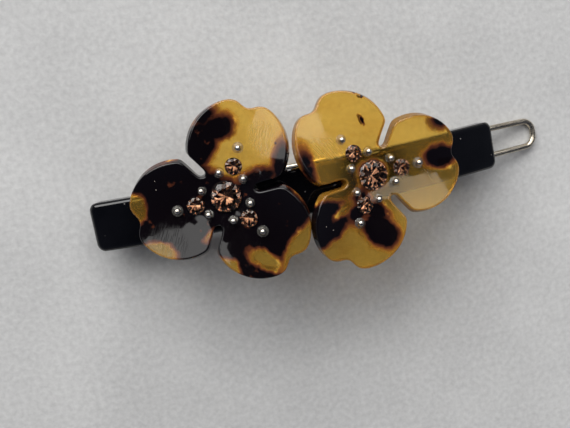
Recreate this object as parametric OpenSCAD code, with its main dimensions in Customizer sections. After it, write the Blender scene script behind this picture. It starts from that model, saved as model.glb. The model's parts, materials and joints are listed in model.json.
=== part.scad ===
// Slide hair barrette: an arched acetate bar carrying two cut-acetate flowers that are set
// with stones and metal beads, closed by a springy wire loop hinged under one end.
// Millimetres. +X runs along the bar from its hinge end to its catch end, +Y is towards the
// bar's back edge and +Z is up. The origin is the middle of the hinge block's flat underside,
// on the table that the barrette rests on.

/* [Bar] */
// Length of the bar, along its arched top
bar_len = 79; // [76:1:82]
// Width of the bar
bar_w = 8.9; // [8.6:0.1:10]
// Thickness of the bar
bar_t = 2.6; // [2.2:0.1:2.7]
// Radius of the bar's arched top
arch_r = 100; // [98:1:130]
// Height of the bar's crown above the table
crown_z = 13.8; // [13.8:0.1:15]
// Radius of the bar's corners, seen from above
bar_corner_r = 1.5; // [0.8:0.1:2]
// Width of the bevel along the bar's top edges
bevel_w = 0.8; // [0.4:0.1:1]
// Depth of the bevel along the bar's top edges
bevel_t = 0.5; // [0.3:0.1:0.8]

/* [Flowers] */
// Place of the left flower's centre along the arch
left_s = -14.1; // [-15:0.1:-14.1]
// Place of the left flower's centre across the bar
left_y = 2.0; // [1.5:0.1:2.5]
// Turn of the left flower, to its first petal
left_turn = 65.5; // [60:0.5:70]
// Place of the right flower's centre along the arch
right_s = 11.4; // [11.4:0.1:13]
// Place of the right flower's centre across the bar
right_y = 0.4; // [0:0.1:1]
// Turn of the right flower, to its first petal
right_turn = 122.8; // [118:0.2:128]
// Thickness of the flower sheet
petal_t = 1.9; // [1.7:0.1:2.2]
// Radius of a petal's rounded outline
petal_r = 8.65; // [8:0.05:8.7]
// Distance from the flower's centre to the centre of a petal's outline
petal_offset = 8.5; // [8:0.1:8.6]
// Depth of the notch in a petal's tip
notch_depth = 1.6; // [0.8:0.1:2]
// Half angle over which the notch spreads
notch_spread = 6.5; // [4:0.5:8]
// Width of the slots between petals
slot_w = 1.5; // [1.2:0.1:2]
// Distance from the flower's centre to the inner end of a slot
slot_start = 5.1; // [5:0.1:5.6]
// Radius to which a petal is cupped across its width
cup_r = 24; // [20:1:40]
// Slope at which a petal rises from the centre to its tip
petal_rise = 2; // [2:0.5:6]
// Thickness of the glue between bar and flower
glue_t = 0.6; // [0.4:0.1:1]
// Radius of the glue spot
glue_r = 3.2; // [2.5:0.1:3.4]

/* [Stones and beads] */
// Diameter of the stone at a flower's centre
centre_stone_d = 5.3; // [5:0.1:5.4]
// Diameter of the stone on a petal
petal_stone_d = 3.05; // [2.8:0.05:3.2]
// Distance of a petal's stone from the flower's centre
petal_stone_reach = 5.45; // [5.3:0.05:5.7]
// Diameter of a bead
bead_d = 1.2; // [1:0.05:1.3]
// Diameter of a bead's pin
bead_pin_d = 0.6; // [0.5:0.05:0.7]
// Length of a bead's pin in the sheet
bead_pin_len = 1.0; // [0.8:0.1:1.2]
// Distance of the inner beads from the flower's centre
inner_bead_reach = 4.4; // [4.2:0.1:4.6]
// Angle of the inner beads from their petal's centre line
inner_bead_angle = 30; // [28:1:32]
// Distance of the outer bead from the flower's centre
outer_bead_reach = 8.75; // [8:0.05:9.2]

/* [Hinge and catch] */
// Distance along the bar from the hinge bore to the bar's crown
crown_x = 31; // [30:0.5:31.5]
// Size of the hinge block along the bar
block_len = 6; // [5:0.5:6.5]
// Size of the hinge block across the bar
block_w = 5; // [4.4:0.1:5]
// Radius of the hinge block's upright corners
block_corner_r = 1; // [0.5:0.1:1.5]
// Clearance around the wire in the hinge bore
bore_clear = 0.05; // [0.02:0.01:0.08]
// Distance along the bar from the hinge bore to the catch knob
knob_x = 64; // [63:0.5:65]
// Diameter of the catch knob's head
knob_head_d = 4.0; // [3.6:0.1:4.0]
// Gap between the catch knob's head and the wire above it
knob_clear = 0.12; // [0.1:0.01:0.2]
// Diameter of the catch knob's neck
knob_neck_d = 2.8; // [2.4:0.1:3.2]

/* [Wire loop] */
// Diameter of the wire
wire_d = 1.15; // [1:0.05:1.2]
// Distance from the bar's centre line to a leg, at the hinge
leg_y = 3.75; // [3.7:0.05:3.9]
// Angle at which each leg closes in towards the tip
leg_taper = 0.95; // [0.9:0.05:1]
// Distance along the bar from the hinge bore to the middle of the wire at the loop's tip
tip_x = 79.7; // [78:0.1:80.5]
// Length of the sloping tip
tip_run = 9.9; // [9:0.1:10.5]
// Slope of the tip, down to the table
tip_slope = 10; // [8:0.5:10.5]
// Bend radius of the loop's two tip corners
tip_corner_r = 2.1; // [1.5:0.1:2.2]
// Bend radius of the loop's two hinge corners
hinge_corner_r = 1.2; // [1:0.1:1.3]
// Bend radius where the tip starts to slope
slope_bend_r = 5; // [3:0.5:6]
// Gap between the two wire ends inside the hinge block
wire_end_gap = 1.6; // [1:0.1:2]

/* [Hidden] */
$fn = 64;
arch_fn = 720;
bend_fn = 120;
PETALS = [0, 1, 2];
BEADS = [0 : 8];
SIDES = ["left", "right"];

petal_step = 120;
hub_top = glue_t + petal_t;
crest = 0.05;
petal_top = hub_top + crest;
sheet_len = 3.5 * petal_r;
cut_h = 5 * petal_t;
underside_r = arch_r - bar_t;
bar_half_angle = (bar_len / 2) / arch_r * 180 / PI;
wire_r = wire_d / 2;
tip_clear = 0.02;
corner_lap = 0.02;
outline_step = 2.5;
wire_z = wire_r + tip_clear + slope_bend_r * (1 - cos(tip_slope)) + tip_run * sin(tip_slope);
wire_lap = 0.05;
wire_step = 0.005;
slope_run = tip_run - tip_corner_r;
leg_run = (tip_x - tip_run * cos(tip_slope) - slope_bend_r * sin(tip_slope)
    - hinge_corner_r) / cos(leg_taper);
tip_bend = acos(sin(leg_taper) * cos(tip_slope));
tip_half_w = leg_y - hinge_corner_r * (1 - cos(leg_taper)) - tip_corner_r * sin(tip_bend)
    - sin(leg_taper) * (leg_run + slope_bend_r * sin(tip_slope) + slope_run * cos(tip_slope));
glue_gap = 0.01;
seat_clear = 0.03;
bead_lift = 0.52;
bead_hole_d = bead_pin_d + 0.04;

// Cut proportions of a stone, as shares of its diameter
crown_share = 0.16;
table_share = 0.55;
girdle_share = 0.03;
pavilion_share = 0.34;
stone_lift_share = 0.05;

// ---- Places ----

// Puts its children on the bar's top, s along the arch and y across the bar
module on_arch(s, y) {
    translate([crown_x, 0, crown_z - arch_r])
        rotate([0, s / arch_r * 180 / PI, 0])
            translate([0, y, arch_r])
                children();
}

// Puts its children in a flower's frame: its centre on the bar's top, its first petal along +X
module on_flower(side) {
    left = side == "left";
    on_arch(left ? left_s : right_s, left ? left_y : right_y)
        rotate([0, 0, left ? left_turn : right_turn])
            children();
}

// Puts its children on the cupped top of a petal, square to its surface
module on_petal(i, along, across) {
    rotate([0, 0, i * petal_step])
        translate([0, 0, petal_top])
            rotate([0, -petal_rise, 0])
                translate([along, 0, cup_r])
                    rotate([asin(across / cup_r), 0, 0])
                        translate([0, 0, -cup_r])
                            children();
}

// Puts its children where one of a flower's beads sits: six inner ones, then three outer ones
module on_bead(i) {
    inner = i < 6;
    turn = inner_bead_angle * (i % 2 == 0 ? 1 : -1);
    on_petal(
        inner ? floor(i / 2) : i - 6,
        inner ? inner_bead_reach * cos(turn) : outer_bead_reach,
        inner ? inner_bead_reach * sin(turn) : 0
    ) children();
}

// A cylinder around the arch's centre line, wide enough to span the bar
module arch_cylinder(r) {
    translate([crown_x, bar_w, crown_z - arch_r])
        rotate([90, 0, 0])
            cylinder(h = 2 * bar_w, r = r, $fn = arch_fn);
}

// ---- Shapes ----

module rounded_rect(x, y, r) {
    square([x - 2 * r, y], center = true);
    square([x, y - 2 * r], center = true);
    for (sx = [-1, 1], sy = [-1, 1])
        translate([sx * (x / 2 - r), sy * (y / 2 - r)])
            circle(r = r);
}

// The bar's section, thickness along +X and width along +Y, with bevelled top edges
module bar_section() {
    half = bar_w / 2;
    polygon([
        [underside_r, -half],
        [arch_r - bevel_t, -half],
        [arch_r, -half + bevel_w],
        [arch_r, half - bevel_w],
        [arch_r - bevel_t, half],
        [underside_r, half]
    ]);
}

// What is cut off one end of the bar: its two corners and its top edge
module bar_end_cutter() {
    half = bar_w / 2;
    corner_inset = bar_corner_r - corner_lap;
    rotate([0, bar_half_angle, 0]) {
        for (side = [-1, 1])
            translate([0, side * half, underside_r - bar_t])
                linear_extrude(3 * bar_t)
                    difference() {
                        square(2 * bar_corner_r, center = true);
                        translate(corner_inset * [-1, -side])
                            circle(r = bar_corner_r);
                    }
        translate([0, bar_w, arch_r])
            rotate([90, 0, 0])
                linear_extrude(2 * bar_w)
                    polygon([[-bevel_w, 0], [0, -bevel_t], [bevel_w, -bevel_t], [bevel_w, bevel_t]]);
    }
}

// How far a petal reaches from the flower's centre, at angle a from its centre line
function petal_reach(a) =
    petal_offset * cos(a) + sqrt(petal_r ^ 2 - (petal_offset * sin(a)) ^ 2)
    - notch_depth * exp(-(a / notch_spread) ^ 2);

// A petal seen from above: a sector of the flower that stops short of the slots beside it
module petal_outline() {
    half_step = petal_step / 2;
    difference() {
        polygon(concat(
            [[0, 0]],
            [for (a = [-half_step : outline_step : half_step]) petal_reach(a) * [cos(a), sin(a)]]
        ));
        for (side = [-1, 1])
            rotate([0, 0, side * half_step])
                translate([-petal_r, -slot_w / 2])
                    square([3 * petal_r, slot_w]);
    }
}

// One petal: its outline cut from a long sheet that is cupped across its width
module petal() {
    intersection() {
        linear_extrude(cut_h)
            petal_outline();
        translate([0, 0, petal_top])
            rotate([0, -petal_rise, 0])
                translate([-petal_r, 0, cup_r])
                    rotate([0, 90, 0])
                        difference() {
                            cylinder(h = sheet_len, r = cup_r + petal_t, $fn = bend_fn);
                            translate([0, 0, -petal_t])
                                cylinder(h = sheet_len + 2 * petal_t, r = cup_r, $fn = bend_fn);
                        }
    }
}

// The gap between two petals, with a round inner end
module slot() {
    linear_extrude(cut_h) {
        translate([slot_start + slot_w / 2, 0])
            circle(d = slot_w);
        translate([slot_start + slot_w / 2, -slot_w / 2])
            square([petal_r, slot_w]);
    }
}

// A cut stone, its girdle's lower edge at z = 0; grow widens it into the seat that holds it
module stone_shape(d, grow) {
    r = d / 2 + grow;
    girdle_z = girdle_share * d;
    rotate_extrude()
        polygon([
            [0, -pavilion_share * d - grow],
            [r, 0],
            [r, girdle_z],
            [table_share * r, girdle_z + crown_share * d],
            [0, girdle_z + crown_share * d]
        ]);
}

module stone(d) {
    translate([0, 0, stone_lift_share * d])
        stone_shape(d, 0);
}

module stone_seat(d) {
    translate([0, 0, stone_lift_share * d])
        stone_shape(d, seat_clear);
}

module bead() {
    translate([0, 0, bead_lift])
        sphere(d = bead_d);
    translate([0, 0, -bead_pin_len])
        cylinder(h = bead_pin_len + bead_lift, d = bead_pin_d);
}

// A three-petalled flower in one piece of sheet, with its stone seats and bead holes
module flower() {
    difference() {
        union() {
            translate([0, 0, glue_t])
                cylinder(h = petal_t, r = slot_start + slot_w / 2);
            for (i = PETALS)
                rotate([0, 0, i * petal_step])
                    petal();
        }
        for (i = PETALS)
            rotate([0, 0, (i + 0.5) * petal_step])
                slot();
        translate([0, 0, hub_top])
            stone_seat(centre_stone_d);
        for (i = PETALS)
            on_petal(i, petal_stone_reach, 0)
                stone_seat(petal_stone_d);
        for (i = BEADS)
            on_bead(i)
                translate([0, 0, -bead_pin_len])
                    cylinder(h = 2 * bead_pin_len, d = bead_hole_d);
    }
}

// The round wire, along a route of [straight length, roll, bend radius, bend angle]; a bend
// angle of 0 ends the route. A straight run is a hair thinner than the bends and laps into
// them, so that no two round faces are tangent.
module wire_route(steps, i = 0) {
    if (i < len(steps)) {
        straight = steps[i][0];
        roll = steps[i][1];
        bend_r = steps[i][2];
        bend = steps[i][3];
        if (straight > 0)
            translate([0, 0, -wire_lap])
                cylinder(h = straight + 2 * wire_lap, r = wire_r - wire_step);
        if (bend > 0)
            translate([0, 0, straight])
                rotate([0, 0, roll])
                    translate([bend_r, 0, 0]) {
                        rotate([90, 0, 0])
                            rotate([0, 0, 180 - bend])
                                rotate_extrude(angle = bend, $fn = bend_fn)
                                    translate([bend_r, 0])
                                        circle(r = wire_r);
                        rotate([0, bend, 0])
                            translate([-bend_r, 0, 0])
                                wire_route(steps, i + 1);
                    }
    }
}

// One half of the loop, from its end inside the hinge block to its tip corner, and on across
// the tip by the given length
module half_loop(across) {
    translate([0, wire_end_gap / 2, wire_z])
        rotate([-90, 0, 0])
            wire_route([
                [leg_y - hinge_corner_r - wire_end_gap / 2, 0, hinge_corner_r, 90 + leg_taper],
                [leg_run, 90, slope_bend_r, tip_slope],
                [slope_run, -90 - atan(sin(tip_slope) * tan(leg_taper)), tip_corner_r, tip_bend],
                [across, 0, 0, 0]
            ]);
}

// ---- Sub-parts ----

module bar() {
    color("#141312")
        translate([crown_x, 0, crown_z - arch_r])
            difference() {
                rotate([90, 0, 0])
                    rotate([0, 0, 90 - bar_half_angle])
                        rotate_extrude(angle = 2 * bar_half_angle, $fn = arch_fn)
                            bar_section();
                bar_end_cutter();
                mirror([1, 0, 0])
                    bar_end_cutter();
            }
}

module hinge_block() {
    color("#141312")
        difference() {
            intersection() {
                linear_extrude(crown_z)
                    rounded_rect(block_len, block_w, block_corner_r);
                arch_cylinder(underside_r - glue_gap);
            }
            translate([0, block_w, wire_z])
                rotate([90, 0, 0])
                    cylinder(h = 2 * block_w, r = wire_r + bore_clear);
        }
}

module catch_knob() {
    head_r = knob_head_d / 2;
    neck_r = knob_neck_d / 2;
    head_top = wire_z - wire_r - knob_clear;
    edge_r = head_top / 2;
    color("#141312")
        intersection() {
            translate([knob_x, 0, 0])
                rotate_extrude()
                    polygon(concat(
                        [[0, 0]],
                        [for (a = [-90 : 15 : 90]) [head_r, edge_r] + edge_r * [cos(a) - 1, sin(a)]],
                        [[neck_r, head_top], [neck_r, crown_z], [0, crown_z]]
                    ));
            arch_cylinder(underside_r - glue_gap);
        }
}

module wire_loop() {
    color("#c9c6bf") {
        half_loop(2 * tip_half_w);
        mirror([0, 1, 0])
            half_loop(0);
    }
}

module glue_spot(side) {
    left = side == "left";
    color("#d9d4c4")
        difference() {
            on_arch(left ? left_s : right_s, 0)
                translate([0, 0, -glue_t])
                    cylinder(h = 2 * glue_t - glue_gap, r = glue_r);
            arch_cylinder(arch_r + glue_gap);
        }
}

module flower_node(side) {
    color("#b98a35")
        on_flower(side)
            flower();
}

module centre_stone(side) {
    color("#8a5a3c")
        on_flower(side)
            translate([0, 0, hub_top])
                stone(centre_stone_d);
}

module petal_stone(side, i) {
    color("#8a5a3c")
        on_flower(side)
            on_petal(i, petal_stone_reach, 0)
                stone(petal_stone_d);
}

module bead_node(side, i) {
    color("#d8d6d0")
        on_flower(side)
            on_bead(i)
                bead();
}

bar();
hinge_block();
catch_knob();
wire_loop();
for (side = SIDES) {
    glue_spot(side);
    flower_node(side);
    centre_stone(side);
    for (i = PETALS)
        petal_stone(side, i);
    for (i = BEADS)
        bead_node(side, i);
}
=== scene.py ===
"""The visual model of the flower hair barrette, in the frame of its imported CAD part.

Lengths are in millimetres and angles in degrees unless a comment says otherwise, and MM turns
millimetres into Blender's metres. A flower's own frame has its origin on the bar's top under
the flower's centre, its first petal along +X and +Z away from the bar.
"""
import json
import math
import random

import bmesh
import bpy
import numpy as np
from mathutils import Matrix, Vector
from mathutils.geometry import delaunay_2d_cdt

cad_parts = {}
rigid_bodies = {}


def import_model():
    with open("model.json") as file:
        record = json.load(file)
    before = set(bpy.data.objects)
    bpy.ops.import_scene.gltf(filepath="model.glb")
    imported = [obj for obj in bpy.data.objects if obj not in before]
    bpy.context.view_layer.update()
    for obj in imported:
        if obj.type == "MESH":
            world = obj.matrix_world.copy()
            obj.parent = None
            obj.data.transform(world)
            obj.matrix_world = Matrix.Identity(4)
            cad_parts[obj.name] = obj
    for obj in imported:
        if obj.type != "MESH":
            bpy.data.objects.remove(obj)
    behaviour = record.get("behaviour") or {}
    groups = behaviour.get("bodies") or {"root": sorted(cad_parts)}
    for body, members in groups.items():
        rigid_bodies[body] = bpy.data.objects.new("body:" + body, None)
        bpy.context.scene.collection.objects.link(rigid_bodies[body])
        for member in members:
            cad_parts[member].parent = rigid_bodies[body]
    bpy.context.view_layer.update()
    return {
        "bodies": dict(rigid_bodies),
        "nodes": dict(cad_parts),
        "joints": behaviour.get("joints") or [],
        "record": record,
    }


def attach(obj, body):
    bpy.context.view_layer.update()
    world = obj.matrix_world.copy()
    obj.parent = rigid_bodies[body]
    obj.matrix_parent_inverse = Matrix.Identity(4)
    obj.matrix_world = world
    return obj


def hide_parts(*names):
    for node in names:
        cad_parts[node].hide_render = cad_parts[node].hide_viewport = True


MM = 0.001
SEED = 7
SIDES = ("left", "right")
PETALS = (0, 1, 2)
PETAL_STEP = math.radians(120)

# Mesh fineness: how far a cap's inner points keep off its outline and holes, in grid pitches,
# and how near a hole's edge, as a share of its radius, a triangle's middle still counts as solid
EDGE_GAP = 0.6
HOLE_GAP = 0.5
HOLE_EDGE = 0.996
CDT_INSIDE = 1
CDT_MERGE = 1e-6

# Bar: the arch's highest point is at CROWN_X, CROWN_Z, and the bevel is slightly crowned
BAR_LEN = 79.0
BAR_W = 8.9
BAR_T = 2.6
ARCH_R = 100.0
CROWN_X = 31.0
CROWN_Z = 13.8
BAR_CORNER_R = 1.5
BAR_CORNER_STEPS = 12
BAR_EDGE_R = 0.15
BAR_EDGE_STEPS = 3
BAR_OUTLINE_STEP = 0.4
BAR_PITCH = 1.3
BEVEL_W = 0.8
BEVEL_T = 0.5
BEVEL_CROWN = 0.08
BEVEL_TURN = math.radians(46)
BEVEL_STEPS = 5

# Flowers: place along the arch, place across the bar and turn about the flower's own +Z
FLOWER_S = {"left": -14.1, "right": 11.4}
FLOWER_Y = {"left": 2.0, "right": 0.4}
FLOWER_TURN = {"left": 65.5, "right": 122.8}
GLUE_T = 0.6

# Petal sheet, and its outline seen from above: arcs with a notch at each tip, slots between
PETAL_T = 1.9
PETAL_R = 8.65
PETAL_OFFSET = 8.5
PETAL_ARC_STEPS = 240
NOTCH_DEPTH = 1.6
NOTCH_SPREAD = 6.5
SLOT_W = 1.5
SLOT_START = 5.1
SLOT_END_STEPS = 18
CORNER_SPREAD = 0.45
FINE_STEP = 0.1
PETAL_OUTLINE_STEP = 0.28
TOP_PITCH = 0.6
UNDERSIDE_PITCH = 0.7
TOP_EDGE_R = 0.32
TOP_EDGE_STEPS = 5
LOW_EDGE_R = 0.22
LOW_EDGE_STEPS = 4

# Petal shape: a flat hub, then petals that rise, curl up at their sides and droop at their
# tips. Each (start, end) is the distance from the centre over which a change comes in. The
# outline is true to size at MID_SHEET of the sheet's thickness.
HUB_TOP = GLUE_T + PETAL_T
PETAL_TOP = HUB_TOP + 0.05
PETAL_RISE = 2.0
RISE_SPAN = (2.2, 5.0)
CUP_R = 24.0
CUP_SPAN = (1.5, 4.5)
PETAL_SPAN = (5.0, 8.0)
HUB_CURL = 0.75
MID_SHEET = 0.6
DROOP_START = 7.0
DROOP_R = 80.0
SLOPE_STEP = 0.02

# Stone seats: depth as a share of the stone's diameter, and rings as shares of the way in
CENTRE_STONE_D = 5.3
PETAL_STONE_D = 3.05
PETAL_STONE_REACH = 5.45
SEAT_CLEAR = 0.03
SEAT_DEPTH = 0.31
SEAT_RINGS = (0.0, 0.12, 0.6)
CENTRE_SEAT_POINTS = 48
PETAL_SEAT_POINTS = 36

# Cut stones: heights as shares of the diameter, ring sizes as shares of the radius
STONE_FACETS = 10
STONE_LIFT = 0.05
STONE_GIRDLE = 0.03
STONE_CROWN = 0.085
STONE_TABLE_R = 0.62
STONE_MID_R = 0.84
STONE_MID_RISE = 0.07
STONE_FAN_R = 0.52
STONE_FAN_DEPTH = 0.14
STONE_FOLD = 0.08
STONE_DEPTH = 0.27

# Beads on their pins, each in a thin ring of glue
BEADS = 9
INNER_BEADS = 6
INNER_BEAD_REACH = 4.4
INNER_BEAD_ANGLE = 30.0
OUTER_BEAD_REACH = 8.75
BEAD_D = 1.2
BEAD_LIFT = 0.52
BEAD_RINGS = 16
BEAD_POINTS = 28
POLE_R = 0.001
BEAD_PIN_D = 0.6
BEAD_PIN_LEN = 1.0
BEAD_PIN_TOP = 0.1
BEAD_PIN_TIP_R = 0.01
BEAD_PIN_POINTS = 16
COLLAR_SPREAD = (0.90, 1.02)
COLLAR_HEIGHT = (0.08, 0.15)
COLLAR_HUG_R = 0.52
COLLAR_INNER_R = 0.45
COLLAR_LIP = 0.015
COLLAR_CURVE = 2.2
COLLAR_STEPS = 8
COLLAR_FOOT = -0.05

# Moulded parts under the bar
MOULD_EDGE = 0.12
MOULD_STEPS = 3
MOULD_MERGE = 0.001
FLAT_ANGLE = math.radians(1)
EDGE_ANGLE = math.radians(35)

# Wire loop
WIRE_D = 1.15
LEG_Y = 3.75
LEG_TAPER = 0.95
TIP_X = 79.7
TIP_RUN = 9.9
TIP_SLOPE = 10.0
TIP_CORNER_R = 2.1
HINGE_CORNER_R = 1.2
SLOPE_BEND_R = 5.0
WIRE_END_GAP = 1.6
TIP_CLEAR = 0.02
WIRE_POINTS = 24
WIRE_STEP = 2.5
WIRE_BEND_STEP = 6.0

# Stage, in metres: the floor, and ragged shapes that break up the panes' reflections
FLOOR_HALF = 1.5
CLUTTER_COUNT = 14
CLUTTER_CORNERS = 9
CLUTTER_START = -0.75
CLUTTER_STEP = 0.115
CLUTTER_SHIFT = 0.03
CLUTTER_Y = (-0.06, 0.05)
CLUTTER_Z = 0.96
CLUTTER_SIZE = (0.04, 0.10)
CLUTTER_RAGGED = (0.6, 1.3)
DAYLIGHT = (1.0, 0.99, 0.97)

# Camera: its place in millimetres, and the directions of its right and its back
CAMERA_PLACE = (5.69, 22.99, 169.37)
CAMERA_RIGHT = (0.9693, -0.1867, 0.1600)
CAMERA_BACK = (-0.1294, 0.1659, 0.9776)
CAMERA_LENS = 56.84
CAMERA_SENSOR = 36.0
CAMERA_NEAR = 5.0


# ---- Meshes ----

def new_object(name, verts, faces, materials, normals=None, kinds=None, smooth=True, frame=None):
    """A mesh object from vertices in millimetres in the given frame, with its own vertex
    normals and one material index per face where given."""
    frame = frame or Matrix.Identity(4)
    mesh = bpy.data.meshes.new(name)
    mesh.from_pydata([tuple(frame @ (Vector(v) * MM)) for v in verts], [], faces)
    mesh.validate()
    for material in materials:
        mesh.materials.append(material)
    if kinds is not None:
        mesh.polygons.foreach_set("material_index", kinds)
    mesh.polygons.foreach_set("use_smooth", [smooth] * len(mesh.polygons))
    if normals is not None:
        turn = frame.to_3x3()
        mesh.normals_split_custom_set_from_vertices([tuple(turn @ n) for n in normals])
    mesh.update()
    obj = bpy.data.objects.new(name, mesh)
    bpy.context.scene.collection.objects.link(obj)
    return obj


def resample(points, step):
    """A closed outline with points evenly spaced along it."""
    loop = np.vstack([points, points[:1]])
    lengths = np.hypot(*np.diff(loop, axis=0).T)
    along = np.concatenate([[0], np.cumsum(lengths)])
    count = int(round(along[-1] / step))
    places = np.arange(count) * along[-1] / count
    return np.stack([np.interp(places, along, loop[:, k]) for k in (0, 1)], 1)


def soften(points, step, sigma):
    """Rounds an evenly spaced closed outline's corners with a moving average of that spread."""
    reach = int(math.ceil(3 * sigma / step))
    total = np.zeros_like(points)
    weight = 0.0
    for k in range(-reach, reach + 1):
        share = math.exp(-0.5 * (k * step / sigma) ** 2)
        total += share * np.roll(points, k, axis=0)
        weight += share
    return total / weight


def outward(points):
    """Unit normals of a counter-clockwise closed outline, pointing out of it."""
    tangent = np.roll(points, -1, axis=0) - np.roll(points, 1, axis=0)
    tangent /= np.hypot(*tangent.T)[:, None]
    return np.stack([tangent[:, 1], -tangent[:, 0]], 1)


def quarter(radius, start, steps, centre):
    """Rim points (inset, height, out, up) around a rounded edge whose centre is at a height."""
    rows = []
    for k in range(steps + 1):
        angle = math.radians(start + 90 * k / steps)
        out, up = math.cos(angle), math.sin(angle)
        rows.append((radius * (1 - out), centre + radius * up, out, up))
    return rows


def ring_circle(x, y, radius, count):
    angles = [2 * math.pi * k / count for k in range(count)]
    return [(x + radius * math.cos(a), y + radius * math.sin(a)) for a in angles]


def hex_points(low, high, pitch):
    """Points of a triangular grid inside a rectangle."""
    rows = []
    row = 0
    y = low[1]
    while y < high[1]:
        x = low[0] + (pitch / 2 if row % 2 else 0)
        while x < high[0]:
            rows.append((x, y))
            x += pitch
        y += pitch * math.sqrt(3) / 2
        row += 1
    return np.array(rows)


def inside(points, outline):
    """Which points lie inside a closed outline."""
    x, y = points[:, 0][:, None], points[:, 1][:, None]
    x0, y0 = outline[:, 0][None], outline[:, 1][None]
    x1, y1 = np.roll(outline, -1, axis=0).T[:, None]
    crosses = (y0 > y) != (y1 > y)
    rise = np.where(y1 == y0, 1e-12, y1 - y0)
    return (crosses & (x < (x1 - x0) * (y - y0) / rise + x0)).sum(1) % 2 == 1


def far_from(points, outline, gap):
    """Which points keep a gap from all of an outline's points."""
    distance = np.hypot(
        points[:, 0][:, None] - outline[:, 0][None], points[:, 1][:, None] - outline[:, 1][None]
    )
    return distance.min(1) > gap


def outside_circle(points, x, y, radius):
    return np.hypot(points[:, 0] - x, points[:, 1] - y) > radius


def filling(outline, pitch, holes):
    """Grid points inside an outline, clear of its edge and of its round holes."""
    grid = hex_points(outline.min(0), outline.max(0), pitch)
    keep = inside(grid, outline) & far_from(grid, outline, EDGE_GAP * pitch)
    for x, y, radius, _ in holes:
        keep &= outside_circle(grid, x, y, radius + HOLE_GAP * pitch)
    return grid[keep]


def solid_triangles(points, triangles, outline, holes):
    """The triangles that lie inside an outline and outside its round holes."""
    middles = [sum((points[k] for k in tri), Vector((0, 0))) / 3 for tri in triangles]
    middles = np.array([tuple(middle) for middle in middles])
    solid = inside(middles, outline)
    for x, y, radius, _ in holes:
        solid &= outside_circle(middles, x, y, HOLE_EDGE * radius)
    return [tri for tri, kept in zip(triangles, solid) if kept]


def wall(low, high):
    """Faces between two closed rings of vertex numbers."""
    count = len(low)
    after = [(k + 1) % count for k in range(count)]
    return [(low[k], low[n], high[n], high[k]) for k, n in enumerate(after)]


class Plate:
    """A closed sheet: a plan outline with a shaped rim, bent onto a surface by place().

    place(x, y, w) returns the point at height w above the sheet's underside, and
    frame(x, y) the surface's unit normal and its two tangents along x and y."""

    def __init__(self, place, frame):
        self.place = place
        self.frame = frame
        self.verts = []
        self.normals = []
        self.faces = []

    def add(self, x, y, w, direction, out, up):
        """Adds a vertex at height w, its normal leaning out along direction and up."""
        normal, along_x, along_y = self.frame(x, y)
        side = along_x * direction[0] + along_y * direction[1]
        self.verts.append(self.place(x, y, w))
        self.normals.append((side * out + normal * up).normalized())
        return len(self.verts) - 1

    def rim(self, outline, profile):
        """Adds rings from the underside, out around the wall and onto the top."""
        out2d = outward(outline)
        rings = []
        for inset, height, out, up in profile:
            ring = [
                self.add(p[0] - inset * d[0], p[1] - inset * d[1], height, d, out, up)
                for p, d in zip(outline, out2d)
            ]
            rings.append(ring)
        for low, high in zip(rings, rings[1:]):
            self.faces += wall(low, high)
        return rings[0], rings[-1]

    def cap(self, outline, ring, height, top, pitch, holes=()):
        """Fills the outline with triangles, except for round holes (x, y, radius, points)."""
        coords = [tuple(p) for p in outline]
        edges = []
        for x, y, radius, count in holes:
            first = len(coords)
            coords += ring_circle(x, y, radius, count)
            edges += [(first + k, first + (k + 1) % count) for k in range(count)]
        coords += [tuple(p) for p in filling(outline, pitch, holes)]
        face = list(range(len(outline)))
        spots = [Vector(c) for c in coords]
        result = delaunay_2d_cdt(spots, edges, [face], CDT_INSIDE, CDT_MERGE)
        points, triangles, sources = result[0], result[2], result[3]
        up = 1.0 if top else -1.0
        index = []
        for point, source in zip(points, sources):
            known = [ring[s] for s in source if s < len(ring)]
            index.append(
                known[0] if known else self.add(point.x, point.y, height, (0, 0), 0, up)
            )
        for tri in solid_triangles(points, triangles, outline, holes):
            order = tri if top else tuple(reversed(tri))
            self.faces.append(tuple(index[k] for k in order))

    def seat(self, x, y, radius, count, height, depth):
        """A cone-shaped seat sunk into the top, closing one round hole."""
        rings = []
        slope = Vector((-depth, radius)).normalized()
        for share in SEAT_RINGS:
            ring = []
            for px, py in ring_circle(0, 0, 1, count):
                r = radius * (1 - share)
                point = self.place(x + r * px, y + r * py, height - depth * share)
                normal, along_x, along_y = self.frame(x, y)
                side = along_x * px + along_y * py
                self.verts.append(point)
                self.normals.append((side * slope[0] + normal * slope[1]).normalized())
                ring.append(len(self.verts) - 1)
            rings.append(ring)
        tip = self.add(x, y, height - depth, (0, 0), 0, 1)
        for low, high in zip(rings, rings[1:]):
            self.faces += wall(low, high)
        for k in range(count):
            self.faces.append((rings[-1][k], rings[-1][(k + 1) % count], tip))


def tube_faces(rings, count, closed):
    """Faces along equal rings of vertices, with flat ends unless they close on themselves."""
    rows = [range(row * count, (row + 1) * count) for row in range(rings)]
    faces = []
    for low, high in zip(rows, rows[1:]):
        faces += wall(low, high)
    if not closed:
        faces.append(tuple(reversed(rows[0])))
        faces.append(tuple(rows[-1]))
    return faces


def lathe(profile, count):
    """Vertices and faces of a profile (radius, height) turned about +Z, with flat ends unless
    it closes on itself."""
    verts = []
    for radius, height in profile:
        verts += [(x, y, height) for x, y in ring_circle(0, 0, radius, count)]
    return verts, tube_faces(len(profile), count, profile[0] == profile[-1])


def joined(parts):
    """One list of vertices, faces and face materials from (verts, faces, material) parts."""
    verts, faces, kinds = [], [], []
    for part_verts, part_faces, kind in parts:
        first = len(verts)
        verts += part_verts
        faces += [tuple(first + k for k in face) for face in part_faces]
        kinds += [kind] * len(part_faces)
    return verts, faces, kinds


# ---- Shader helpers ----

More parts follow.
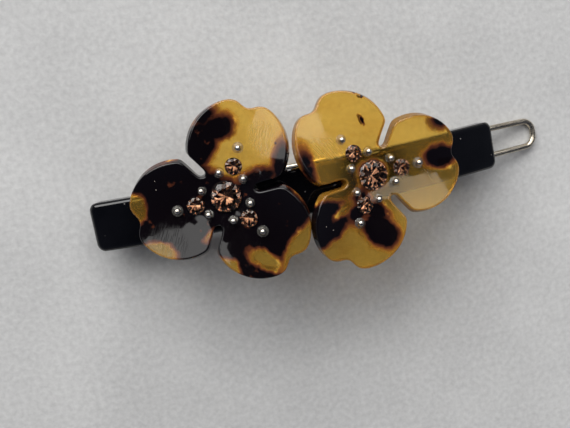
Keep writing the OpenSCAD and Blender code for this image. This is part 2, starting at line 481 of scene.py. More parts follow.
class Graph:
    """A short way to add shader nodes and join them."""

    def __init__(self, tree):
        self.tree = tree
        tree.nodes.clear()

    def put(self, socket, value):
        if isinstance(value, bpy.types.NodeSocket):
            self.tree.links.new(value, socket)
        else:
            socket.default_value = value

    def add(self, kind, inputs=None, **settings):
        node = self.tree.nodes.new("ShaderNode" + kind)
        for name, value in settings.items():
            setattr(node, name, value)
        for key, value in (inputs or {}).items():
            self.put(node.inputs[key], value)
        return node

    def math(self, operation, a, b=0.0, c=0.0):
        return self.add("Math", {0: a, 1: b, 2: c}, operation=operation).outputs[0]

    def vector(self, operation, a, b=(0, 0, 0)):
        node = self.add("VectorMath", {0: a, 1: b}, operation=operation)
        return node.outputs["Value" if operation == "LENGTH" else "Vector"]

    def scaled(self, vector, factor):
        node = self.add("VectorMath", {0: vector, "Scale": factor}, operation="SCALE")
        return node.outputs["Vector"]

    def noise(self, point, scale, detail=2.0, output="Fac"):
        inputs = {"Vector": point, "Scale": scale, "Detail": detail}
        return self.add("TexNoise", inputs).outputs[output]

    def smooth(self, value, low, high, out_low=0.0, out_high=1.0):
        """Runs smoothly from out_low at low to out_high at high."""
        inputs = {0: value, 1: low, 2: high, 3: out_low, 4: out_high}
        return self.add("MapRange", inputs, interpolation_type="SMOOTHSTEP").outputs[0]

    def ramp(self, value, stops):
        node = self.add("ValToRGB", {0: value})
        elements = node.color_ramp.elements
        while len(elements) < len(stops):
            elements.new(0.5)
        for element, (place, colour) in zip(elements, stops):
            element.position = place
            element.color = (*colour, 1)
        return node.outputs[0]

    def mix(self, share, a, b):
        """Blends two colours, which are the Mix node's inputs 6 and 7 and its output 2."""
        node = self.add("Mix", data_type="RGBA")
        self.put(node.inputs["Factor"], share)
        self.put(node.inputs[6], a)
        self.put(node.inputs[7], b)
        return node.outputs[2]

    def bump(self, height, strength, distance):
        inputs = {"Height": height, "Strength": strength, "Distance": distance}
        return self.add("Bump", inputs).outputs[0]

    def surface(self, inputs):
        shader = self.add("BsdfPrincipled", inputs)
        self.add("OutputMaterial", {"Surface": shader.outputs[0]})


def new_material(name):
    material = bpy.data.materials.new(name)
    material.use_nodes = True
    return material, Graph(material.node_tree)


def object_point(g):
    return g.add("TexCoord").outputs["Object"]


def specks(g, point, cell, size, share):
    """Small round dust specks, 1 inside a speck: cells of that many millimetres, the largest
    speck's radius as a share of a cell, and the share of cells that hold one."""
    cells = g.add("TexVoronoi", {"Vector": point, "Scale": 1 / (cell * MM)})
    picked = g.add("SeparateColor", {0: cells.outputs["Color"]})
    chosen = g.math("GREATER_THAN", picked.outputs[0], 1 - share)
    radius = g.math("MULTIPLY", picked.outputs[1], size)
    near = g.math("LESS_THAN", cells.outputs["Distance"], radius)
    return g.math("MULTIPLY", chosen, near)


def scratches(g, point, turn, along, across, sharp):
    """Fine straight scratches along X, 1 on a scratch: a turn in degrees that sets one pattern
    apart from another, their length and width in millimetres, and how rare they are."""
    inputs = {
        "Vector": point,
        "Rotation": (0, 0, math.radians(turn)),
        "Scale": (1 / (along * MM), 1 / (across * MM), 1 / (along * MM)),
    }
    stretched = g.add("Mapping", inputs).outputs[0]
    value = g.add("TexNoise", {"Vector": stretched, "Scale": 1.0, "Detail": 1.0}).outputs["Fac"]
    return g.smooth(value, sharp, sharp + 0.05)


# ---- Materials ----

ACETATE_IOR = 1.49


def black_acetate():
    """Polished black sheet with fine scratches, faint cloudiness and a little dust."""
    material, g = new_material("black_acetate")
    point = object_point(g)
    cloud = g.noise(point, 1 / (7 * MM), 3)
    dust = specks(g, point, cell=0.9, size=0.16, share=0.16)
    marks = g.math(
        "MAXIMUM",
        scratches(g, point, turn=12, along=9, across=0.13, sharp=0.76),
        scratches(g, point, turn=-38, along=6, across=0.11, sharp=0.77),
    )
    base = g.ramp(cloud, [(0.3, (0.001, 0.001, 0.0015)), (0.75, (0.003, 0.003, 0.004))])
    colour = g.mix(dust, base, (0.20, 0.19, 0.18, 1))
    worn = g.math("ADD", g.math("MULTIPLY", cloud, 0.05), g.math("MULTIPLY", marks, 0.08))
    height = g.math("ADD", g.math("MULTIPLY", marks, -0.2), g.noise(point, 1 / (9 * MM), 1))
    g.surface({
        "Base Color": colour,
        "Roughness": g.math("ADD", worn, 0.02),
        "IOR": ACETATE_IOR,
        "Normal": g.bump(height, 0.08, 0.05 * MM),
    })
    return material


def blob_field(g, point, blobs):
    """Rough distance in mm from the nearest edge of a set of soft ellipses, below 0 inside.
    A blob is (x, y, half length, half width, turn in degrees)."""
    field = None
    for x, y, long, wide, turn in blobs:
        inputs = {
            "Vector": point,
            "Location": (x * MM, y * MM, 0),
            "Rotation": (0, 0, math.radians(turn)),
            "Scale": (long * MM, wide * MM, 1),
        }
        placed = g.add("Mapping", inputs, vector_type="TEXTURE").outputs[0]
        share = g.math("SUBTRACT", g.vector("LENGTH", placed), 1.0)
        edge = g.math("MULTIPLY", share, min(long, wide))
        field = edge if field is None else g.math("SMOOTH_MIN", field, edge, 0.5)
    return field


# Dark areas of each flower, the amber ones over them, small dark specks, and patches dulled
# by handling, all in the flower's own frame. Two dark areas of the left flower lie along the
# bar's back edge and also carry painted shade there.
DARK = {
    "left": [
        # (3.1, -4.3) is partly the sheet's own dark feather and partly painted shade; (4.9, -4.6) is
        # painted shade. Both darken the petal where the bar's bevel highlight would show through it.
        (0.0, 0.0, 3.1, 2.9, 0), (3.1, -4.3, 3.9, 1.7, -62), (1.8, 2.6, 2.4, 1.4, 60),
        (7.2, 6.9, 4.8, 3.0, -12), (11.2, 4.2, 2.8, 2.0, -50), (12.6, 6.6, 1.8, 1.2, -30),
        (7.8, -7.9, 3.6, 1.2, 8), (4.9, -4.6, 3.4, 1.1, -64),
        (-4.4, 7.6, 9.2, 8.8, 120), (-4.3, -7.4, 9.2, 8.8, 240),
    ],
    "right": [
        (0.0, 0.0, 2.6, 2.4, 0), (9.9, 7.6, 2.8, 1.1, -25),
        (-6.6, -11.6, 3.2, 1.9, 55), (-1.7, -15.1, 1.5, 1.1, 20),
        (-8.1, 5.8, 3.7, 2.6, 6), (-5.0, 4.0, 2.6, 1.5, 15), (-2.0, 5.6, 3.2, 2.0, 115),
        (0.4, 11.9, 4.5, 3.5, 75), (-1.2, 14.5, 2.0, 1.6, 60),
    ],
}
AMBER = {
    "left": [
        (-5.9, 14.6, 2.9, 2.0, 15), (-12.7, 9.4, 4.2, 2.3, -80), (-7.3, 1.3, 1.3, 0.5, -30),
        (-9.2, -9.2, 3.8, 1.7, 78), (-5.4, -14.6, 5.8, 2.1, -14), (-12.0, -3.5, 2.5, 1.5, 55),
    ],
    "right": [(-0.5, 8.0, 2.2, 0.9, 88)],
}
SPECKS = {
    "left": [(11.1, -6.3, 0.30, 0.22, 0)],
    "right": [
        (8.8, -5.1, 0.85, 0.38, -25), (11.8, -8.0, 0.4, 0.3, 0), (13.7, -7.2, 0.4, 0.3, 0),
    ],
}
SMUDGES = {
    "left": [(-10.0, 7.2, 3.6, 2.6, 60), (11.5, -3.5, 3.0, 2.2, 20)],
    "right": [(9.5, 3.0, 3.0, 2.0, 30)],
}

# The sheet's colour from its clearest to its darkest parts
TORTOISE = [
    (0.00, (0.98, 0.63, 0.12)),
    (0.19, (0.82, 0.43, 0.06)),
    (0.38, (0.36, 0.135, 0.026)),
    (0.60, (0.10, 0.028, 0.013)),
    (0.90, (0.003, 0.002, 0.003)),
]


def tortoiseshell(side, rim=False):
    """See-through honey acetate with feathered black-brown patches, polished and handled.
    The cut rim's faces get a copy painted a deeper orange and letting less light through,
    standing in for light that travels further inside the rim."""
    material, g = new_material("tortoiseshell_" + side + ("_rim" if rim else ""))
    place = flower_frame(side)
    inputs = {
        "Vector": object_point(g),
        "Location": place.translation,
        "Rotation": place.to_euler(),
    }
    point = g.add("Mapping", inputs, vector_type="TEXTURE").outputs[0]
    drift = g.vector("SUBTRACT", g.noise(point, 1 / (3.2 * MM), 2, "Color"), (0.5, 0.5, 0.5))
    fray = g.vector("SUBTRACT", g.noise(point, 1 / (0.8 * MM), 4, "Color"), (0.5, 0.5, 0.5))
    warped = g.vector("ADD", point, g.scaled(drift, 1.8 * MM))
    warped = g.vector("ADD", warped, g.scaled(fray, 0.45 * MM))
    dark = g.smooth(blob_field(g, warped, DARK[side]), 1.25, -0.85)
    amber = g.smooth(blob_field(g, warped, AMBER[side]), 0.60, -0.90)
    spots = g.smooth(blob_field(g, warped, SPECKS[side]), 0.25, -0.20)
    dark = g.math("MULTIPLY", dark, g.math("SUBTRACT", 1.0, amber))
    dark = g.math("MAXIMUM", dark, spots)
    streaks = g.noise(point, 1 / (5 * MM), 5)
    shade = g.math("ADD", dark, g.smooth(streaks, 0.45, 0.85, 0.0, 0.14))
    embers = g.noise(point, 1 / (2.6 * MM), 3)
    shade = g.math("SUBTRACT", shade, g.smooth(embers, 0.56, 0.78, 0.0, 0.50))
    colour = g.ramp(shade, TORTOISE)
    reach = g.vector("LENGTH", point)
    most = 0.70 if rim else g.smooth(reach, 4 * MM, 10 * MM, 0.98, 0.91)
    clear = g.smooth(dark, 0.75, 0.05, 0.0, most)
    if rim:
        # Painted colour: the rim is tinted deeper orange in place of the longer light path inside
        # it.
        colour = g.mix(g.smooth(dark, 0.6, 0.0, 0.0, 0.75), colour, (0.52, 0.22, 0.025, 1))
    cloud = g.noise(point, 1 / (6 * MM), 3)
    marks = g.math(
        "MAXIMUM",
        scratches(g, point, turn=25, along=5, across=0.10, sharp=0.71),
        scratches(g, point, turn=100, along=4, across=0.09, sharp=0.72),
    )
    haze = g.smooth(g.noise(point, 1 / (2.2 * MM), 6), 0.50, 0.72, 0.0, 0.11)
    worn = g.math("ADD", haze, g.math("MULTIPLY", marks, 0.15))
    worn = g.math("ADD", worn, g.math("MULTIPLY", cloud, 0.03))
    strokes = scratches(g, point, turn=-35, along=3, across=0.22, sharp=0.50)
    touched = g.smooth(blob_field(g, warped, SMUDGES[side]), 1.0, -0.8, 0.0, 0.25)
    worn = g.math("ADD", worn, g.math("MULTIPLY", touched, g.math("ADD", strokes, 0.3)))
    dust = specks(g, point, cell=1.6, size=0.10, share=0.12)
    g.surface({
        "Base Color": g.mix(dust, colour, (0.55, 0.50, 0.42, 1)),
        "Roughness": g.math("ADD", worn, 0.02),
        "IOR": ACETATE_IOR,
        "Transmission Weight": clear,
        "Normal": g.bump(g.noise(point, 1 / (5 * MM), 2), 0.10, 0.10 * MM),
    })
    return material


def wire_metal():
    """Bright nickel-plated spring wire with faint drawing lines and handling marks."""
    material, g = new_material("wire_nickel")
    point = object_point(g)
    grain = scratches(g, point, turn=0, along=6, across=0.08, sharp=0.52)
    cloud = g.noise(point, 1 / (3 * MM), 3)
    colour = g.ramp(cloud, [(0.25, (0.46, 0.40, 0.31)), (0.8, (0.71, 0.645, 0.53))])
    rough = g.math("ADD", g.math("MULTIPLY", grain, 0.10), g.math("MULTIPLY", cloud, 0.16))
    g.surface({
        "Base Color": colour,
        "Metallic": 1.0,
        "Roughness": g.math("ADD", rough, 0.14),
        "Normal": g.bump(grain, 0.10, 0.01 * MM),
    })
    return material


def bead_metal():
    """Polished silver-coloured metal beads, with slight tarnish."""
    material, g = new_material("bead_silver")
    point = object_point(g)
    cloud = g.noise(point, 1 / (0.6 * MM), 3)
    colour = g.ramp(cloud, [(0.3, (0.50, 0.46, 0.40)), (0.75, (0.78, 0.74, 0.67))])
    g.surface({
        "Base Color": colour,
        "Metallic": 1.0,
        "Roughness": g.math("ADD", g.math("MULTIPLY", cloud, 0.10), 0.03),
    })
    return material


def stone_glass():
    """The clear champagne-coloured front of a cut stone."""
    material, g = new_material("stone_glass")
    point = object_point(g)
    cloud = g.noise(point, 1 / (1.5 * MM), 2)
    colour = g.ramp(cloud, [(0.3, (0.80, 0.66, 0.58)), (0.8, (0.91, 0.80, 0.72))])
    g.surface({
        "Base Color": colour,
        "Roughness": g.math("MULTIPLY", cloud, 0.02),
        "IOR": 1.50,
        "Transmission Weight": 1.0,
    })
    return material


def stone_foil():
    """The coppery mirror backing of a cut stone."""
    material, g = new_material("stone_foil")
    point = object_point(g)
    cloud = g.noise(point, 1 / (0.9 * MM), 2)
    colour = g.ramp(cloud, [(0.30, (0.29, 0.19, 0.15)), (0.70, (0.89, 0.71, 0.57))])
    g.surface({
        "Base Color": colour,
        "Metallic": 1.0,
        "Roughness": g.math("ADD", g.math("MULTIPLY", cloud, 0.06), 0.02),
    })
    return material


def glue():
    """Clear set glue, a little cloudy."""
    material, g = new_material("glue_clear")
    point = object_point(g)
    cloud = g.noise(point, 1 / (0.7 * MM), 3)
    colour = g.ramp(cloud, [(0.3, (0.70, 0.66, 0.58)), (0.8, (0.88, 0.86, 0.80))])
    g.surface({
        "Base Color": colour,
        "Roughness": g.math("ADD", g.math("MULTIPLY", cloud, 0.12), 0.04),
        "IOR": 1.46,
        "Transmission Weight": 0.92,
        "Normal": g.bump(cloud, 0.15, 0.03 * MM),
    })
    return material


def paper():
    """Pale grey paper with a fine fibre mottle."""
    material, g = new_material("paper")
    point = object_point(g)
    fine = g.noise(point, 1 / (1.0 * MM), 6)
    broad = g.noise(point, 1 / (30 * MM), 3)
    both = g.math("ADD", g.math("MULTIPLY", fine, 0.5), g.math("MULTIPLY", broad, 0.5))
    colour = g.ramp(both, [(0.30, (0.42, 0.42, 0.42)), (0.70, (0.61, 0.61, 0.605))])
    g.surface({
        "Base Color": colour,
        "Roughness": 0.85,
        "Normal": g.bump(fine, 0.45, 0.14 * MM),
    })
    return material


# ---- Pieces ----

def on_arch(s, y):
    """The frame on the bar's top, s along the arch and y across the bar, in metres."""
    return (
        Matrix.Translation(Vector((CROWN_X, 0, CROWN_Z - ARCH_R)) * MM)
        @ Matrix.Rotation(s / ARCH_R, 4, "Y")
        @ Matrix.Translation(Vector((0, y, ARCH_R)) * MM)
    )


def flower_frame(side):
    """A flower's own frame, in metres."""
    turn = Matrix.Rotation(math.radians(FLOWER_TURN[side]), 4, "Z")
    return on_arch(FLOWER_S[side], FLOWER_Y[side]) @ turn


def on_petal(i, along, across):
    """The frame on a petal's cupped top, square to it, in the flower's frame."""
    return (
        Matrix.Rotation(i * PETAL_STEP, 4, "Z")
        @ Matrix.Translation(Vector((0, 0, PETAL_TOP)) * MM)
        @ Matrix.Rotation(math.radians(-PETAL_RISE), 4, "Y")
        @ Matrix.Translation(Vector((along, 0, CUP_R)) * MM)
        @ Matrix.Rotation(math.asin(across / CUP_R), 4, "X")
        @ Matrix.Translation(Vector((0, 0, -CUP_R)) * MM)
    )


def bead_frame(i):
    """Where a flower's bead sits: two inner ones on each petal, then an outer one on each."""
    if i >= INNER_BEADS:
        return on_petal(i - INNER_BEADS, OUTER_BEAD_REACH, 0)
    turn = math.radians(INNER_BEAD_ANGLE) * (1 if i % 2 == 0 else -1)
    return on_petal(i // 2, INNER_BEAD_REACH * math.cos(turn), INNER_BEAD_REACH * math.sin(turn))


def bar_place(s, y, w):
    """The point at height w above the bar's underside."""
    radius = ARCH_R - BAR_T + w
    angle = s / ARCH_R
    return (
        CROWN_X + radius * math.sin(angle), y, CROWN_Z - ARCH_R + radius * math.cos(angle)
    )


def bar_surface(s, _):
    """The bar's unit normal and its tangents along and across the bar."""
    angle = s / ARCH_R
    normal = Vector((math.sin(angle), 0, math.cos(angle)))
    return normal, Vector((math.cos(angle), 0, -math.sin(angle))), Vector((0, 1, 0))


def bar_outline():
    """A rectangle with round corners, unrolled from the arch."""
    r = BAR_CORNER_R
    along, across = BAR_LEN / 2 - r, BAR_W / 2 - r
    centres = [(along, across), (-along, across), (-along, -across), (along, -across)]
    points = []
    for corner, (x, y) in enumerate(centres):
        for k in range(BAR_CORNER_STEPS + 1):
            a = math.radians(90 * corner + 90 * k / BAR_CORNER_STEPS)
            points.append((x + r * math.cos(a), y + r * math.sin(a)))
    return resample(np.array(points), BAR_OUTLINE_STEP)


def bar_profile():
    """The bar's rim from its underside to its top: a rounded edge, a wall and the bevel."""
    slope = math.atan2(BEVEL_T, BEVEL_W)
    profile = quarter(BAR_EDGE_R, -90, BAR_EDGE_STEPS, BAR_EDGE_R)
    profile.append((0.0, BAR_T - BEVEL_T - BAR_EDGE_R, 1.0, 0.0))
    for k in range(BEVEL_STEPS + 1):
        share = k / BEVEL_STEPS
        crown = BEVEL_CROWN * 4 * share * (1 - share)
        tilt = slope + BEVEL_TURN * (0.5 - share)
        inset = BEVEL_W * share - crown * math.sin(slope)
        height = BAR_T - BEVEL_T * (1 - share) + crown * math.cos(slope)
        profile.append((inset, height, math.sin(tilt), math.cos(tilt)))
    profile.append((BEVEL_W + BAR_EDGE_R, BAR_T, 0.0, 1.0))
    return profile


def build_bar(material):
    outline = bar_outline()
    profile = bar_profile()
    plate = Plate(bar_place, bar_surface)
    low, high = plate.rim(outline, profile)
    directions = outward(outline)
    plate.cap(outline - profile[0][0] * directions, low, 0.0, False, BAR_PITCH)
    plate.cap(outline - profile[-1][0] * directions, high, BAR_T, True, BAR_PITCH)
    obj = new_object("bar_visual", plate.verts, plate.faces, [material], plate.normals)
    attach(obj, "clip")
    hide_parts("bar")


def petal_reach(a):
    """How far a petal reaches at angle a from its centre line."""
    notch = NOTCH_DEPTH * math.exp(-((math.degrees(a) / NOTCH_SPREAD) ** 2))
    across = PETAL_OFFSET * math.sin(a)
    return PETAL_OFFSET * math.cos(a) + math.sqrt(PETAL_R ** 2 - across ** 2) - notch


def petal_arc(turn):
    """A petal's edge, from the slot on its one side to the slot on its other."""
    half = PETAL_STEP / 2
    points = []
    for k in range(PETAL_ARC_STEPS + 1):
        a = -half + 2 * half * k / PETAL_ARC_STEPS
        reach = petal_reach(a)
        if reach * math.sin(half - abs(a)) > SLOT_W / 2:
            points.append((reach * math.cos(turn + a), reach * math.sin(turn + a)))
    return points


def slot_end(axis):
    """The half circle that ends a slot near the hub, its slot running out along axis."""
    centre = SLOT_START + SLOT_W / 2
    points = []
    for k in range(SLOT_END_STEPS + 1):
        b = math.radians(-90 - 180 * k / SLOT_END_STEPS)
        along = centre + SLOT_W / 2 * math.cos(b)
        across = SLOT_W / 2 * math.sin(b)
        points.append((
            along * math.cos(axis) - across * math.sin(axis),
            along * math.sin(axis) + across * math.cos(axis),
        ))
    return points


def flower_outline():
    """The flower seen from above: three petals with round-ended slots between them."""
    points = []
    for i in PETALS:
        turn = i * PETAL_STEP
        points += petal_arc(turn) + slot_end(turn + PETAL_STEP / 2)
    dense = soften(resample(np.array(points), FINE_STEP), FINE_STEP, CORNER_SPREAD)
    return resample(dense, PETAL_OUTLINE_STEP)


def ease(value, low, high):
    """Runs smoothly from 0 at low to 1 at high."""
    share = min(max((value - low) / (high - low), 0.0), 1.0)
    return share * share * (3 - 2 * share)


def petal_height(x, y):
    """The flower's top at a plan point: cupped petals that blend into a flat hub."""
    r = math.hypot(x, y)
    turn = math.atan2(y, x)
    local = (turn + PETAL_STEP / 2) % PETAL_STEP - PETAL_STEP / 2
    near = 1 - ease(r, *PETAL_SPAN)
    crossing = HUB_CURL * (1 - math.cos(3 * local)) / 2
    bend = near * crossing + (1 - near) * math.sin(local) ** 2
    rise = r * math.cos(local) * math.tan(math.radians(PETAL_RISE))
    lift = (PETAL_TOP - HUB_TOP) + rise
    droop = max(r - DROOP_START, 0.0) ** 2 / (2 * DROOP_R)
    cup = r * r / (2 * CUP_R) * bend * ease(r, *CUP_SPAN)
    return HUB_TOP + lift * ease(r, *RISE_SPAN) + cup - droop


def flower_surface(x, y):
    """The top's unit normal and tangents along x and y."""
    step = SLOPE_STEP
    slope_x = (petal_height(x + step, y) - petal_height(x - step, y)) / (2 * step)
    slope_y = (petal_height(x, y + step) - petal_height(x, y - step)) / (2 * step)
    normal = Vector((-slope_x, -slope_y, 1)).normalized()
    return normal, Vector((1, 0, slope_x)).normalized(), Vector((0, 1, slope_y)).normalized()


def flower_place(x, y, w):
    """The point at height w above the sheet's underside, square to its surface."""
    normal = flower_surface(x, y)[0]
    true_at = MID_SHEET * PETAL_T
    foot = Vector((x, y, petal_height(x, y) - (PETAL_T - true_at) / normal.z))
    return tuple(foot + normal * (w - true_at))


def stone_seats():
    """A flower's stone seats: (x, y, radius, points round the edge, stone's diameter)."""
    radius = CENTRE_STONE_D / 2 + SEAT_CLEAR
    seats = [(0.0, 0.0, radius, CENTRE_SEAT_POINTS, CENTRE_STONE_D)]
    for i in PETALS:
        spot = on_petal(i, PETAL_STONE_REACH, 0).translation / MM
        radius = PETAL_STONE_D / 2 + SEAT_CLEAR
        seats.append((spot.x, spot.y, radius, PETAL_SEAT_POINTS, PETAL_STONE_D))
    return seats


def build_flower(side, materials):
    """A flower's sheet, with one material for its faces and one for its cut rim."""
    outline = flower_outline()
    profile = quarter(LOW_EDGE_R, -90, LOW_EDGE_STEPS, LOW_EDGE_R)
    profile += quarter(TOP_EDGE_R, 0, TOP_EDGE_STEPS, PETAL_T - TOP_EDGE_R)
    plate = Plate(flower_place, flower_surface)
    low, high = plate.rim(outline, profile)
    rim_faces = len(plate.faces)
    directions = outward(outline)
    plate.cap(outline - LOW_EDGE_R * directions, low, 0.0, False, UNDERSIDE_PITCH)
    seats = stone_seats()
    holes = [seat[:4] for seat in seats]
    plate.cap(outline - TOP_EDGE_R * directions, high, PETAL_T, True, TOP_PITCH, holes)
    for x, y, radius, count, diameter in seats:
        plate.seat(x, y, radius, count, PETAL_T, SEAT_DEPTH * diameter)
    kinds = [1] * rim_faces + [0] * (len(plate.faces) - rim_faces)
    obj = new_object(
        "flower_visual_" + side, plate.verts, plate.faces, materials, plate.normals, kinds,
        frame=flower_frame(side)
    )
    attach(obj, "clip")
    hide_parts("flower_" + side)


def cut_stone(d, rng):
    """A round cut stone of diameter d: clear front facets, then a foil back folded like a
    fan, with the girdle's wall. The kinds are 0 for clear faces and 1 for foil."""
    n = STONE_FACETS
    turn = rng.uniform(0, math.tau / n)

    def ring(count, radius, height, offset=0.0):
        angles = [turn + math.tau * (k + offset) / count for k in range(count)]
        r, z = radius * d / 2, height * d
        return [(r * math.cos(a), r * math.sin(a), z) for a in angles]

    verts = ring(n, STONE_TABLE_R, STONE_GIRDLE + STONE_CROWN)
    verts += ring(n, STONE_MID_R, STONE_GIRDLE + STONE_MID_RISE, 0.5)
    verts += ring(2 * n, 1, STONE_GIRDLE) + ring(2 * n, 1, 0)
    for k, (x, y, z) in enumerate(ring(2 * n, STONE_FAN_R, -STONE_FAN_DEPTH)):
        verts.append((x, y, z - STONE_FOLD * d * (k % 2)))
    verts.append((0, 0, -STONE_DEPTH * d))
    table, mid, top, low, fan, culet = 0, n, 2 * n, 4 * n, 6 * n, 8 * n
    front = [tuple(range(table, table + n))]
    back = []
    for k in range(n):
        after, before = (k + 1) % n, (k - 1) % n
        g0, g1, g2 = 2 * k, 2 * k + 1, (2 * k + 2) % (2 * n)
        front.append((table + k, mid + k, table + after))
        front.append((table + k, mid + before, top + g0))
        front.append((table + k, top + g0, mid + k))
        front.append((mid + k, top + g0, top + g1))
        front.append((mid + k, top + g1, top + g2))
    for k in range(2 * n):
        after = (k + 1) % (2 * n)
        back.append((top + k, low + k, low + after, top + after))
        back.append((low + k, fan + k, fan + after))
        back.append((low + k, fan + after, low + after))
        back.append((fan + k, culet, fan + after))
    faces = front + back
    kinds = [0] * len(front) + [1] * len(back)
    return verts, faces, kinds


def build_stone(name, d, frame, materials, rng):
    verts, faces, kinds = cut_stone(d, rng)
    raised = frame @ Matrix.Translation((0, 0, STONE_LIFT * d * MM))
    obj = new_object(
        name + "_visual", verts, faces, materials, kinds=kinds, smooth=False, frame=raised
    )
    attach(obj, "clip")
    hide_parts(name)


def ball_profile():
    radius = BEAD_D / 2
    angles = [math.pi * k / BEAD_RINGS - math.pi / 2 for k in range(BEAD_RINGS + 1)]
    return [
        (max(radius * math.cos(a), POLE_R), BEAD_LIFT + radius * math.sin(a)) for a in angles
    ]


def collar_profile(rng):
    """A thin ring of glue that climbs towards the bead it holds."""
    spread = rng.uniform(*COLLAR_SPREAD)
    height = rng.uniform(*COLLAR_HEIGHT)
    foot = (spread, COLLAR_FOOT)
    profile = [foot]
    for k in range(COLLAR_STEPS + 1):
        share = k / COLLAR_STEPS
        radius = spread - (spread - COLLAR_HUG_R) * share
        profile.append((radius, COLLAR_LIP + height * share ** COLLAR_CURVE))
    return profile + [(COLLAR_INNER_R, height), (COLLAR_INNER_R, COLLAR_FOOT), foot]


def build_bead(name, frame, materials, rng):
    """A bead on its pin, in a small ring of clear glue."""
    collar = collar_profile(rng)
    pin_r = BEAD_PIN_D / 2
    pin = [(BEAD_PIN_TIP_R, -BEAD_PIN_LEN), (pin_r, -BEAD_PIN_LEN), (pin_r, BEAD_PIN_TOP)]
    verts, faces, kinds = joined([
        (*lathe(ball_profile(), BEAD_POINTS), 0),
        (*lathe(pin, BEAD_PIN_POINTS), 0),
        (*lathe(collar, BEAD_POINTS), 1),
    ])
    obj = new_object(name + "_visual", verts, faces, materials, kinds=kinds, frame=frame)
    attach(obj, "clip")
    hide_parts(name)


def wire_steps():
    """Half the loop's straights and bends, from inside the hinge block to its tip corner:
    each is a straight's length, then the turn, radius and angle of the bend after it."""
    taper, slope = math.radians(LEG_TAPER), math.radians(TIP_SLOPE)
    slope_start = TIP_X - TIP_RUN * math.cos(slope) - SLOPE_BEND_R * math.sin(slope)
    leg_run = (slope_start - HINGE_CORNER_R) / math.cos(taper)
    roll = -90 - math.degrees(math.atan(math.sin(slope) * math.tan(taper)))
    tip_bend = math.degrees(math.acos(math.sin(taper) * math.cos(slope)))
    return [
        (LEG_Y - HINGE_CORNER_R - WIRE_END_GAP / 2, 0, HINGE_CORNER_R, 90 + LEG_TAPER),
        (leg_run, 90, SLOPE_BEND_R, TIP_SLOPE),
        (TIP_RUN - TIP_CORNER_R, roll, TIP_CORNER_R, tip_bend),
    ]


def wire_start():
    """The frame of the wire's end inside the hinge block, its +Z along the wire."""
    slope = math.radians(TIP_SLOPE)
    bend_drop = SLOPE_BEND_R * (1 - math.cos(slope))
    wire_z = WIRE_D / 2 + TIP_CLEAR + bend_drop + TIP_RUN * math.sin(slope)
    place = Matrix.Translation((0, WIRE_END_GAP / 2, wire_z))
    return place @ Matrix.Rotation(math.radians(-90), 4, "X")


def wire_route():
    """Centre line of half the loop, from inside the hinge block to the end of its tip corner."""
    frame = wire_start()
    points = [frame.translation.copy()]
    for straight, turn, bend_r, bend in wire_steps():
        pieces = max(1, int(straight / WIRE_STEP))
        for k in range(1, pieces + 1):
            points.append(frame @ Vector((0, 0, straight * k / pieces)))
        corner = (
            frame
            @ Matrix.Translation((0, 0, straight))
            @ Matrix.Rotation(math.radians(turn), 4, "Z")
            @ Matrix.Translation((bend_r, 0, 0))
        )
        parts = max(2, int(bend / WIRE_BEND_STEP))
        for k in range(1, parts + 1):
            swing = Matrix.Rotation(math.radians(bend * k / parts), 4, "Y")
            points.append(corner @ swing @ Vector((-bend_r, 0, 0)))
        full = Matrix.Rotation(math.radians(bend), 4, "Y")
        frame = corner @ full @ Matrix.Translation((-bend_r, 0, 0))
    return points


def tube(points, radius, count):
    """Vertices and faces of a round wire along a line of points, with flat ends."""
    tangents = []
    for k in range(len(points)):
        before, after = points[max(k - 1, 0)], points[min(k + 1, len(points) - 1)]
        tangents.append((after - before).normalized())
    side = tangents[0].orthogonal().normalized()
    verts = []
    for point, tangent in zip(points, tangents):
        side = (side - tangent * side.dot(tangent)).normalized()
        other = tangent.cross(side)
        for k in range(count):
            a = math.tau * k / count
            verts.append(tuple(point + (side * math.cos(a) + other * math.sin(a)) * radius))
    return verts, tube_faces(len(points), count, closed=False)


def build_wire(material):
    half = wire_route()
    other = [Vector((p.x, -p.y, p.z)) for p in reversed(half)]
    verts, faces = tube(half + other, WIRE_D / 2, WIRE_POINTS)
    obj = new_object("wire_loop_visual", verts, faces, [material])
    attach(obj, "loop")
    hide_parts("wire_loop")


def build_softened(nodes, name, material):
    """A copy of a small moulded CAD node with its edges rounded."""
    mesh = nodes[name].data.copy()
    mesh.name = name + "_visual"
    shape = bmesh.new()
    shape.from_mesh(mesh)
    bmesh.ops.remove_doubles(shape, verts=shape.verts, dist=MOULD_MERGE * MM)
    bmesh.ops.dissolve_limit(
        shape, angle_limit=FLAT_ANGLE, verts=shape.verts, edges=shape.edges
    )
    shape.to_mesh(mesh)
    shape.free()
    mesh.materials.clear()
    mesh.materials.append(material)
    obj = bpy.data.objects.new(mesh.name, mesh)
    bpy.context.scene.collection.objects.link(obj)
    bevel = obj.modifiers.new("rounded_edges", "BEVEL")
    bevel.width = MOULD_EDGE * MM
    bevel.segments = MOULD_STEPS
    bevel.limit_method = "ANGLE"
    bevel.angle_limit = EDGE_ANGLE
    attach(obj, "clip")
    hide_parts(name)


def paint_node(nodes, name, material):
    mesh = nodes[name].data
    mesh.materials.clear()
    mesh.materials.append(material)


# ---- Stage ----

def build_floor(material):
    half = FLOOR_HALF / MM
    verts = [(-half, -half, 0), (half, -half, 0), (half, half, 0), (-half, half, 0)]
    obj = new_object("floor", verts, [(0, 1, 2, 3)], [material], smooth=False)


def add_softbox(name, centre, target, size, radiance, colour):
    """A rectangular light that faces a target, with the same glow at any size."""
    light = bpy.data.lights.new(name, "AREA")
    light.shape = "RECTANGLE"
    light.size, light.size_y = size
    light.energy = radiance * math.pi * size[0] * size[1]
    light.color = colour
    obj = bpy.data.objects.new(name, light)
    bpy.context.scene.collection.objects.link(obj)
    obj.location = centre
    aim = Vector(target) - Vector(centre)
    obj.rotation_euler = aim.to_track_quat("-Z", "Y").to_euler()


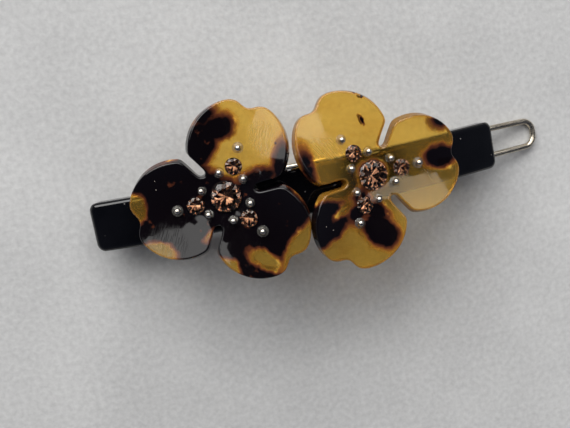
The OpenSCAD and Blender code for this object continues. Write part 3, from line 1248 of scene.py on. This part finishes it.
def add_clutter(material):
    """Ragged dark shapes in front of the panes' near edges, so their reflections aren't straight."""
    rng = random.Random(SEED)
    face = tuple(range(CLUTTER_CORNERS))
    for k in range(CLUTTER_COUNT):
        shift = rng.uniform(-CLUTTER_SHIFT, CLUTTER_SHIFT)
        x = CLUTTER_START + CLUTTER_STEP * k + shift
        y = rng.uniform(*CLUTTER_Y)
        size = rng.uniform(*CLUTTER_SIZE)
        corners = []
        for c in range(CLUTTER_CORNERS):
            a = math.tau * c / CLUTTER_CORNERS
            r = size * rng.uniform(*CLUTTER_RAGGED)
            corner = (x + r * math.cos(a), y + r * math.sin(a), CLUTTER_Z)
            corners.append(tuple(value / MM for value in corner))
        obj = new_object(f"clutter_{k}", corners, [face], [material], smooth=False)


def add_window():
    """Panes of soft daylight behind and above the barrette, with dark gaps between.
    Each has a centre, a point that it faces, a width and height, and a radiance."""
    panes = [
        ("pane_left", (-0.40, 0.42, 1.0), (-0.55, 0.17, 0.0), (0.66, 0.84), 2.1),
        ("pane_right", (0.50, 0.44, 1.0), (0.46, 0.19, 0.0), (0.62, 0.84), 2.1),
        ("pane_back", (-0.3, 1.25, 0.85), (0.0, 0.0, 0.0), (2.5, 0.8), 6.0),
    ]
    for name, centre, target, size, radiance in panes:
        add_softbox(name, centre, target, size, radiance, DAYLIGHT)


def add_world():
    """A dim room, lighter towards the horizon than overhead."""
    world = bpy.data.worlds.new("room")
    bpy.context.scene.world = world
    world.use_nodes = True
    g = Graph(world.node_tree)
    direction = g.add("TexCoord").outputs["Generated"]
    up = g.add("SeparateXYZ", {0: direction}).outputs["Z"]
    colour = g.ramp(up, [
        (0.0, (0.15, 0.16, 0.18)),
        (0.30, (0.11, 0.12, 0.15)),
        (0.65, (0.05, 0.058, 0.085)),
        (0.95, (0.007, 0.007, 0.011)),
    ])
    background = g.add("Background", {"Color": colour, "Strength": 1.0})
    g.add("OutputWorld", {"Surface": background.outputs[0]})


def add_camera():
    data = bpy.data.cameras.new("camera")
    data.lens = CAMERA_LENS
    data.sensor_width = CAMERA_SENSOR
    data.clip_start = CAMERA_NEAR * MM
    obj = bpy.data.objects.new("camera", data)
    bpy.context.scene.collection.objects.link(obj)
    back = Vector(CAMERA_BACK).normalized()
    up = back.cross(Vector(CAMERA_RIGHT)).normalized()
    right = up.cross(back).normalized()
    matrix = Matrix((right, up, back)).transposed().to_4x4()
    matrix.translation = Vector(CAMERA_PLACE) * MM
    obj.matrix_world = matrix
    bpy.context.scene.camera = obj


def main():
    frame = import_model()
    nodes = frame["nodes"]
    rng = random.Random(SEED)
    black = black_acetate()
    metal = bead_metal()
    clear_glue = glue()
    stone_parts = [stone_glass(), stone_foil()]
    build_bar(black)
    build_wire(wire_metal())
    for name in ("hinge_block", "catch_knob"):
        build_softened(nodes, name, black)
    for side in SIDES:
        place = flower_frame(side)
        build_flower(side, [tortoiseshell(side), tortoiseshell(side, rim=True)])
        paint_node(nodes, "glue_spot_" + side, clear_glue)
        hub = place @ Matrix.Translation((0, 0, HUB_TOP * MM))
        build_stone("centre_stone_" + side, CENTRE_STONE_D, hub, stone_parts, rng)
        for i in PETALS:
            spot = place @ on_petal(i, PETAL_STONE_REACH, 0)
            name = f"petal_stone_{side}_{i + 1}"
            build_stone(name, PETAL_STONE_D, spot, stone_parts, rng)
        for i in range(BEADS):
            name = f"bead_{side}_{i + 1}"
            build_bead(name, place @ bead_frame(i), [metal, clear_glue], rng)
    build_floor(paper())
    add_clutter(black)
    add_world()
    add_window()
    add_camera()
    bpy.context.scene.view_settings.view_transform = "Standard"


main()
